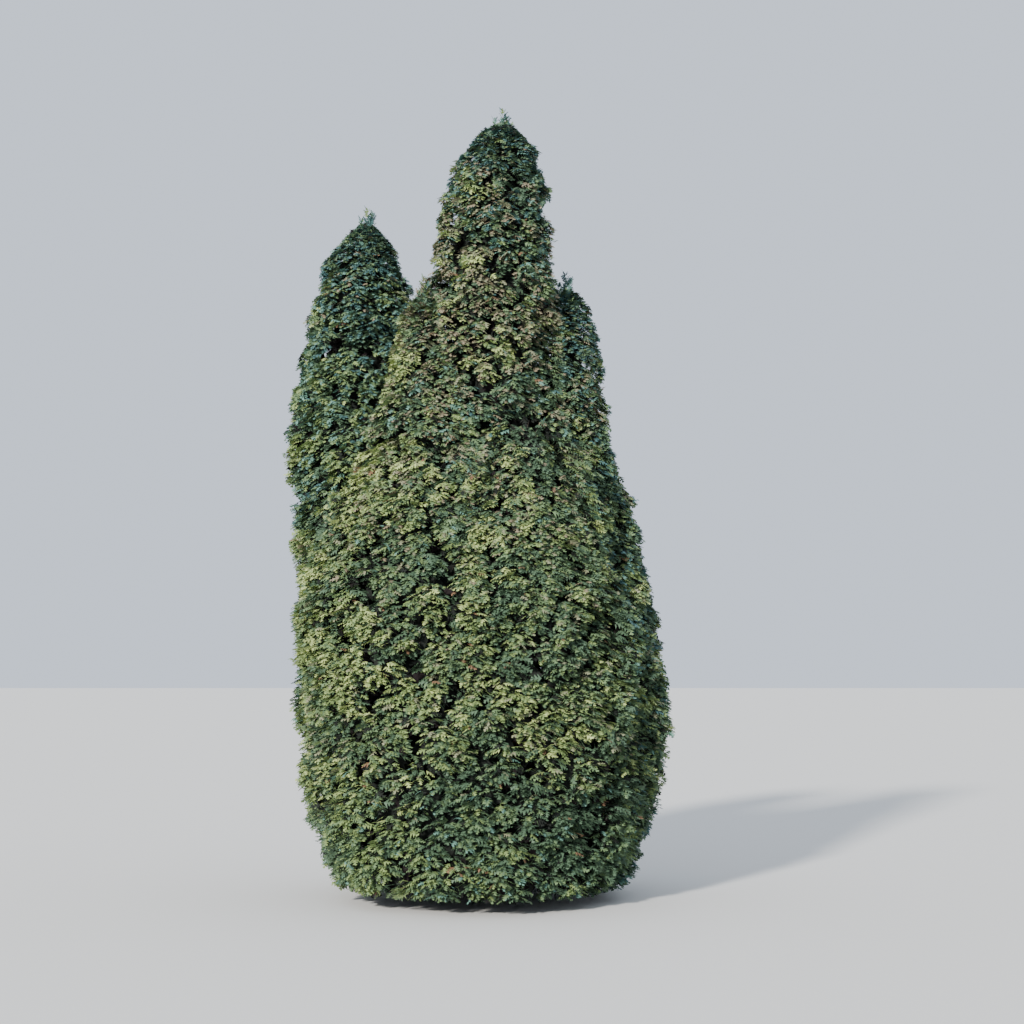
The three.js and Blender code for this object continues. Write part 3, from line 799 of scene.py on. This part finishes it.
def plain_material(name, colour, roughness, ior):
    material = bpy.data.materials.new(name)
    material.use_nodes = True
    shader = material.node_tree.nodes["Principled BSDF"]
    shader.inputs["Base Color"].default_value = (*colour, 1.0)
    shader.inputs["Roughness"].default_value = roughness
    shader.inputs["IOR"].default_value = ior
    material.diffuse_color = (*colour, 1.0)
    return material


def scale_leaf(name, colour):
    """Scale leaves of cedar: a thin waxy skin gives them a soft, low gloss."""
    ior = OLD_LEAF_IOR if name in ZONES["inside"] else LEAF_IOR
    return plain_material(f"scale leaf {name}", colour, LEAF_ROUGHNESS, ior)


def twig_bark(bark):
    """Thin young bark, dull and nearly smooth."""
    return plain_material("young cedar bark", bark.twig, roughness=0.85, ior=1.5)


def stringy_bark(bark):
    """Old cedar bark, which peels in long flat strips: grey outside, red-brown in the furrows."""
    material = plain_material("stringy cedar bark", bark.ridge, roughness=0.9, ior=1.5)
    shader = material.node_tree.nodes["Principled BSDF"]
    place = add_node(material, "ShaderNodeTexCoord")
    strips = add_node(material, "ShaderNodeMapping", {"Scale": (1.0, 1.0, BARK_STRETCH)},
                      {"Vector": place.outputs["Object"]})
    fibre = add_node(material, "ShaderNodeTexNoise",
                     {"Scale": 1 / bark.strip_width, "Detail": 6.0, "Roughness": 0.6},
                     {"Vector": strips.outputs["Vector"]})
    colours = add_node(material, "ShaderNodeValToRGB", None, {"Fac": fibre.outputs["Fac"]})
    colours.color_ramp.elements[0].position = 0.36
    colours.color_ramp.elements[0].color = (*bark.furrow, 1.0)
    colours.color_ramp.elements[1].position = 0.62
    colours.color_ramp.elements[1].color = (*bark.ridge, 1.0)
    bump = add_node(material, "ShaderNodeBump", {"Strength": 0.6, "Distance": 0.004},
                    {"Height": fibre.outputs["Fac"]})
    material.node_tree.links.new(colours.outputs["Color"], shader.inputs["Base Color"])
    material.node_tree.links.new(bump.outputs["Normal"], shader.inputs["Normal"])
    return material


def painted_floor(colour):
    """Matt painted floor, plain and pale."""
    return plain_material("matt floor paint", colour, roughness=0.9, ior=1.45)


def shared_material(name, make, *settings):
    """A material that several pieces use is made once."""
    return bpy.data.materials.get(name) or make(*settings)


def leaf_materials():
    colours = bpy.context.scene.cedar_foliage
    return [shared_material(f"scale leaf {tint}", scale_leaf, tint, getattr(colours, tint))
            for tint in TINTS]


# Tints are dealt by spray: each zone of the crown has its own shares
TINTS = tuple(CedarFoliageColours.__annotations__)
ZONES = {
    "skirt": dict(fresh_green=0.19, leaf_green=0.31, olive=0.07, mid_green=0.25, deep_green=0.18),
    "foot": dict(leaf_green=0.17, mid_green=0.32, blue_green=0.04, deep_green=0.47),
    "upper": dict(fresh_green=0.06, leaf_green=0.18, olive=0.23, bronze=0.12, mid_green=0.16,
                  blue_green=0.1, deep_green=0.15),
    "cool": dict(leaf_green=0.14, mid_green=0.28, blue_green=0.18, deep_green=0.2,
                 deep_blue_green=0.2),
    # The tip zone leans to darker, bluer tints: painted shade at the tips
    "tip": dict(leaf_green=0.08, blue_green=0.27, mid_green=0.12, deep_blue_green=0.43,
                deep_green=0.1),
    "bronzed": dict(fresh_green=0.05, olive=0.33, bronze=0.33, leaf_green=0.1, mid_green=0.11,
                    deep_green=0.08),
    # Painted shade: the shaded sprays behind the outer ones are dealt dark tints, and darker still in
    # the hollows
    "shaded": dict(deep_green=0.5, mid_green=0.15, shade_green=0.35),
    "hollow": dict(mid_green=0.1, deep_green=0.4, shade_green=0.4, dead_brown=0.1),
    # The old sprays inside are dealt near-black tints: painted shade
    "inside": dict(shade_green=0.8, dead_brown=0.2),
}
FOOT_START = 1.2
FOOT_SPAN = 0.8
UPPER_START = 1.5
UPPER_SPAN = 2.7
TIP_ZONE_DEPTH = 0.5
TIP_ZONE_SHARE = 1.3  # more than 1, so that the very tip is dealt its own tints only
BLUE_TIPS = ("main", "right", "rear_left", "rear", "rear_right")
COOL_LEADERS = dict(rear_left=0.85, rear=0.6, right=0.3)  # shares of their sprays
RUST_SHARE = 0.006
PAINTED_SUN_SHIFT = 0.18  # painted sunlight and shade: the sunny side, -X, is dealt more of the first, lighter tints of each zone, the far side more of the darker ones
HOLLOW_DEPTH = 0.05  # sprays deeper than this are in the hollows
HOLLOW_SHADE_START = 0.6  # from this share of that depth, outer sprays begin to darken with painted shade
BRONZED = dict(leader="main", low=3.3, high=4.7, share=0.8)
MOODS = (0.3, 0.3, 0.4)  # how far bough, twig and spray decide a tint
MOOD_CONTRAST = 1.7


def dealt_tints(shares, draw):
    """Index of a tint for each draw from 0 to 1, by the shares of a zone."""
    edges = np.cumsum(list(shares.values()))
    names = np.array([TINTS.index(tint) for tint in shares])
    return names[np.minimum(np.searchsorted(edges / edges[-1], draw), len(names) - 1)]


def spray_tints(growth, places):
    """Tint of each outer spray, by its zone, and alike within a bough and a twig."""
    leader = growth["leader"]
    name = leader["name"]
    count = len(places["tip"])
    random = np.random.default_rng(leader["seed"] + DETAIL_SEED + 1)
    bough_mood = random.random(len(growth["boughs"]["level"]))[places["bough"]]
    twig_mood = random.random(len(growth["twigs"]["level"]))[places["twig"]]
    mood = MOODS[0] * bough_mood + MOODS[1] * twig_mood + MOODS[2] * random.random(count)
    sunny = 0.5 - 0.5 * np.cos(places["site_angle"])
    # Painted sunlight: sprays on the sunny side draw lighter tints, those on the far side darker ones
    draw = np.clip((mood - 0.5) * MOOD_CONTRAST + 0.5 + PAINTED_SUN_SHIFT * (1 - 2 * sunny), 0, 1)
    height = places["tip"][:, 2]
    zone_draw = random.random(count)
    tip_share = TIP_ZONE_SHARE if name in BLUE_TIPS else 0
    chances = dict(foot=smooth((FOOT_START - height) / FOOT_SPAN),
                   upper=smooth((height - UPPER_START) / UPPER_SPAN),
                   cool=COOL_LEADERS.get(name, 0),
                   tip=tip_share * np.exp(-(leader["tip"][2] - height) / TIP_ZONE_DEPTH))
    tints = dealt_tints(ZONES["skirt"], draw)
    for zone, chance in chances.items():
        tints = np.where(zone_draw < chance, dealt_tints(ZONES[zone], draw), tints)
    if name == BRONZED["leader"]:
        middle = (height - BRONZED["low"]) / (BRONZED["high"] - BRONZED["low"])
        patch = np.sin(np.clip(middle, 0, 1) * math.pi)
        bronzed = random.random(count) < BRONZED["share"] * patch * sunny
        tints = np.where(bronzed, dealt_tints(ZONES["bronzed"], draw), tints)
    # Painted shade: outer sprays deep in the hollows are dealt deep green
    hollow = random.random(count) < (places["recess"] / HOLLOW_DEPTH - HOLLOW_SHADE_START)
    tints = np.where(hollow, TINTS.index("deep_green"), tints)
    return np.where(random.random(count) < RUST_SHARE, TINTS.index("rust"), tints)


def shaded_spray_tints(places, draw):
    """Tint of each shaded spray, as painted shade: dark in the hollows and deep green in the tufts.
    """
    return np.where(places["recess"] > HOLLOW_DEPTH, dealt_tints(ZONES["hollow"], draw),
                    dealt_tints(ZONES["shaded"], draw))


# Limbs, modelled with operators

def select_nothing():
    if bpy.context.object and bpy.context.object.mode != "OBJECT":
        bpy.ops.object.mode_set(mode="OBJECT")
    bpy.ops.object.select_all(action="DESELECT")


def extruded_limb(name, leader, sides, rings, crowding):
    """A limb drawn up from a ring, one extrusion for each height, and narrowed as it rises."""
    select_nothing()
    shares = (np.arange(rings + 1) / rings) ** crowding
    heights = leader["fork"] + (limb_top(leader) - leader["fork"]) * shares
    at = [Vector((*stem_axis(leader, height), height)) for height in heights]
    radii = [limb_radius(leader, height) for height in heights]
    bpy.ops.mesh.primitive_circle_add(vertices=sides, radius=radii[0], fill_type="NGON",
                                      location=at[0])
    limb = bpy.context.object
    limb.name = name
    limb.data.name = name
    bpy.ops.object.transform_apply(location=True, rotation=False, scale=False)
    bpy.ops.object.mode_set(mode="EDIT")
    bpy.ops.mesh.select_all(action="SELECT")
    for below, above, narrow, wide in zip(at, at[1:], radii[1:], radii):
        bpy.ops.mesh.extrude_region_move(TRANSFORM_OT_translate={"value": above - below})
        scale = narrow / wide
        bpy.ops.transform.resize(value=(scale, scale, 1.0), center_override=above)
    bpy.ops.mesh.select_all(action="SELECT")
    bpy.ops.mesh.normals_make_consistent(inside=False)
    bpy.ops.object.mode_set(mode="OBJECT")
    return limb


def pull_root_ribs(trunk):
    """Root ribs are pulled out of the trunk's foot with a soft falloff."""
    reach = TRUNK_RADIUS + FLARE_SPREAD
    for rib in range(FLARE_RIBS):
        turn = rib * 2 * math.pi / FLARE_RIBS
        outwards = Vector((math.cos(turn), math.sin(turn), 0.0))
        for vertex in trunk.data.vertices:
            flat = Vector((vertex.co.x, vertex.co.y, 0.0))
            vertex.select = vertex.co.z < CUT_HEIGHT and flat.length > RIB_INSIDE * reach and (
                flat.normalized().dot(outwards) > math.cos(math.pi / TRUNK_SIDES * RIB_BREADTH))
        bpy.ops.object.mode_set(mode="EDIT")
        bpy.ops.transform.translate(
            value=outwards * reach * FLARE_RIB_DEPTH, use_proportional_edit=True,
            proportional_edit_falloff="SMOOTH", proportional_size=RIB_FALLOFF * reach)
        bpy.ops.mesh.select_all(action="DESELECT")
        bpy.ops.object.mode_set(mode="OBJECT")


def carve_bark(limb, relief, strip_width):
    """Strips of bark stand out of a limb: long ridges from a noise that is stretched upwards."""
    bpy.context.view_layer.objects.active = limb
    limb.select_set(True)
    held = limb.vertex_groups.new(name="bark")
    held.add([v.index for v in limb.data.vertices if v.co.z > CUT_HEIGHT], 1.0, "REPLACE")
    finer = limb.modifiers.new("finer", "SUBSURF")
    finer.subdivision_type = "CATMULL_CLARK"
    finer.levels = LIMB_LEVELS
    finer.render_levels = LIMB_LEVELS
    bpy.ops.object.empty_add(location=(0.0, 0.0, 0.0))
    stretch = bpy.context.object
    stretch.scale = (1.0, 1.0, 1 / BARK_STRETCH)
    strips = bpy.data.textures.new("bark strips", "CLOUDS")
    strips.noise_scale = 2 * strip_width
    strips.noise_depth = 2
    ridges = limb.modifiers.new("ridges", "DISPLACE")
    ridges.texture = strips
    ridges.texture_coords = "OBJECT"
    ridges.texture_coords_object = stretch
    ridges.strength = relief
    ridges.mid_level = 0.5
    ridges.vertex_group = held.name
    select_nothing()
    bpy.context.view_layer.objects.active = limb
    limb.select_set(True)
    bpy.ops.object.modifier_apply(modifier=finer.name)
    bpy.ops.object.modifier_apply(modifier=ridges.name)
    bpy.ops.object.shade_smooth_by_angle(angle=BARK_CREASE)
    bpy.data.objects.remove(stretch)


def finish_piece(piece, nodes):
    """A piece rides on the tree's one body and stands for its nodes."""
    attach(piece, "root")
    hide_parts(*nodes)


def finish_limb(limb, relief, node):
    """Bark in relief on a limb, which stands for its node."""
    bark = bpy.context.scene.cedar_bark
    carve_bark(limb, relief, bark.strip_width)
    limb.data.materials.append(shared_material("stringy cedar bark", stringy_bark, bark))
    finish_piece(limb, [node])


def mass_nodes(leader):
    return [f"foliage_{leader['name']}_{tier + 1}" for tier in range(leader["masses"])]


def spray_piece(name, leader, groups):
    """One joined piece from groups of places, tints and blade widths."""
    meshes, tints = [], []
    for places, dealt, width in groups:
        corners, triangles, owners = spray_mesh(places, width)
        meshes.append((corners, triangles))
        tints.append(dealt[owners])
    corners, triangles = joined(meshes)
    piece = array_piece(name, corners, triangles, leaf_materials(), np.concatenate(tints))
    finish_piece(piece, mass_nodes(leader))


class CEDAR_OT_trunk(bpy.types.Operator):
    """Trunk from its flat cut at the ground to the main leader's top, with root flare and bark"""
    bl_idname = "cedar.trunk"
    bl_label = "Trunk"

    def execute(self, context):
        trunk = extruded_limb("trunk_bark", LEADERS[0], TRUNK_SIDES, TRUNK_RINGS, TRUNK_CROWDING)
        pull_root_ribs(trunk)
        finish_limb(trunk, context.scene.cedar_bark.trunk_relief, "trunk")
        return {"FINISHED"}


class CEDAR_OT_stems(bpy.types.Operator):
    """Side stems that leave the trunk low down and carry the other leaders"""
    bl_idname = "cedar.stems"
    bl_label = "Side stems"

    def execute(self, context):
        for leader in LEADERS[1:]:
            node = f"stem_{leader['name']}"
            stem = extruded_limb(f"{node}_bark", leader, STEM_SIDES, STEM_RINGS, STEM_CROWDING)
            finish_limb(stem, context.scene.cedar_bark.stem_relief, node)
        return {"FINISHED"}


class CEDAR_OT_twigs(bpy.types.Operator):
    """Boughs, twigs and the shoots at the tips, one joined piece for each leader"""
    bl_idname = "cedar.twigs"
    bl_label = "Boughs and twigs"

    def execute(self, context):
        crown = context.scene.cedar_crown
        bark = context.scene.cedar_bark
        for growth in all_growth():
            leader = growth["leader"]
            used = np.unique(growth["twigs"]["bough"])
            start, bend, end = bough_curves(growth)
            length = np.linalg.norm(end - start, axis=1)
            radius = BOUGH["radius"] + BOUGH["radius_gain"] * length
            boughs = tapered_tubes(start[used], bend[used], end[used], radius[used], BOUGH)
            start, bend, end = twig_curves(growth, crown.bough_relief)
            twigs = tapered_tubes(start, bend, end, np.full(len(start), TWIG["radius"]), TWIG)
            parts = [boughs, twigs]
            if leader["feathery"]:
                shoot_radii = np.full(SHOOTS, SHOOT_RADIUS)
                parts.append(tapered_tubes(*shoot_curves(leader), shoot_radii, TWIG))
            corners, triangles = joined(parts)
            piece = array_piece(f"twigs_{leader['name']}", corners, triangles,
                                [shared_material("young cedar bark", twig_bark, bark)],
                                np.zeros(len(triangles)))
            finish_piece(piece, mass_nodes(leader))
        return {"FINISHED"}


class CEDAR_OT_sprays(bpy.types.Operator):
    """Flat sprays of scale leaves, an outer and an inner joined piece for each leader"""
    bl_idname = "cedar.sprays"
    bl_label = "Sprays"

    def execute(self, context):
        crown = context.scene.cedar_crown
        for growth in all_growth():
            leader = growth["leader"]
            outer = spray_places(growth, crown)
            shaded = shaded_spray_places(growth, crown)
            old = old_spray_places(growth, crown)
            random = np.random.default_rng(leader["seed"])
            shaded_tints = shaded_spray_tints(shaded, random.random(len(shaded["tip"])))
            # Old sprays inside get near-black tints, painted shade
            old_tints = dealt_tints(ZONES["inside"], random.random(len(old["tip"])))
            young = [(outer, spray_tints(growth, outer), OUTER["blades"])]
            if leader["feathery"]:
                shoots = shoot_places(growth)
                zone = "tip" if leader["name"] in BLUE_TIPS else "upper"
                shoot_tints = dealt_tints(ZONES[zone], random.random(len(shoots["tip"])))
                young.append((shoots, shoot_tints, OUTER["blades"]))
            inner = [(shaded, shaded_tints, SHADED["blades"]), (old, old_tints, OLD["blades"])]
            spray_piece(f"sprays_{leader['name']}", leader, young)
            spray_piece(f"inner_sprays_{leader['name']}", leader, inner)
        return {"FINISHED"}


class CEDAR_OT_stage(bpy.types.Operator):
    """Plain pale floor, soft studio light and a camera at the photograph's viewing angle"""
    bl_idname = "cedar.stage"
    bl_label = "Floor, lights and camera"

    def execute(self, context):
        stage = context.scene.cedar_stage
        select_nothing()
        bpy.ops.mesh.primitive_plane_add(size=FLOOR_SIZE, location=(0.0, 0.0, 0.0))
        floor = context.object
        floor.name = "floor"
        floor.data.materials.append(painted_floor(stage.floor))

        world = bpy.data.worlds.new("studio")
        world.use_nodes = True
        background = world.node_tree.nodes["Background"]
        background.inputs["Color"].default_value = (*stage.room, 1.0)
        background.inputs["Strength"].default_value = stage.room_strength
        context.scene.world = world

        bpy.ops.object.light_add(type="SUN", location=(0.0, 0.0, 0.0))
        key = context.object
        key.name = "key_lamp"
        key.data.energy = stage.key_strength
        key.data.angle = KEY_SOFTNESS
        key.data.color = KEY_COLOUR
        key.rotation_euler = (math.pi / 2 - stage.key_height, 0.0, -stage.key_side)

        bpy.ops.object.camera_add(location=EYE, rotation=(math.pi / 2 + PITCH, 0.0, 0.0))
        camera = context.object
        camera.data.sensor_width = SENSOR_WIDTH
        camera.data.lens = LENS
        context.scene.camera = camera
        return {"FINISHED"}


class CEDAR_PT_panel(bpy.types.Panel):
    """Lists the steps that build the tree and the sizes and colours that they use"""
    bl_label = "Garden cedar"
    bl_idname = "CEDAR_PT_panel"
    bl_space_type = "VIEW_3D"
    bl_region_type = "UI"
    bl_category = "Cedar"

    def draw(self, context):
        for operator in OPERATORS:
            self.layout.operator(operator.bl_idname)
        for name, group in SETTINGS.items():
            box = self.layout.box()
            for key in group.__annotations__:
                box.prop(getattr(context.scene, name), key)


SETTINGS = {
    "cedar_crown": CedarCrown,
    "cedar_foliage": CedarFoliageColours,
    "cedar_bark": CedarBark,
    "cedar_stage": CedarStage,
}
OPERATORS = (CEDAR_OT_stage, CEDAR_OT_trunk, CEDAR_OT_stems, CEDAR_OT_twigs, CEDAR_OT_sprays)


def register():
    for group in SETTINGS.values():
        bpy.utils.register_class(group)
    for name, group in SETTINGS.items():
        setattr(bpy.types.Scene, name, PointerProperty(type=group))
    for operator in OPERATORS:
        bpy.utils.register_class(operator)
    bpy.utils.register_class(CEDAR_PT_panel)


def unregister():
    bpy.utils.unregister_class(CEDAR_PT_panel)
    for operator in reversed(OPERATORS):
        bpy.utils.unregister_class(operator)
    for name, group in SETTINGS.items():
        delattr(bpy.types.Scene, name)
        bpy.utils.unregister_class(group)


def main():
    register()
    bpy.ops.cedar.stage()
    bpy.ops.cedar.trunk()
    bpy.ops.cedar.stems()
    bpy.ops.cedar.twigs()
    bpy.ops.cedar.sprays()


if __name__ == "__main__":
    main()
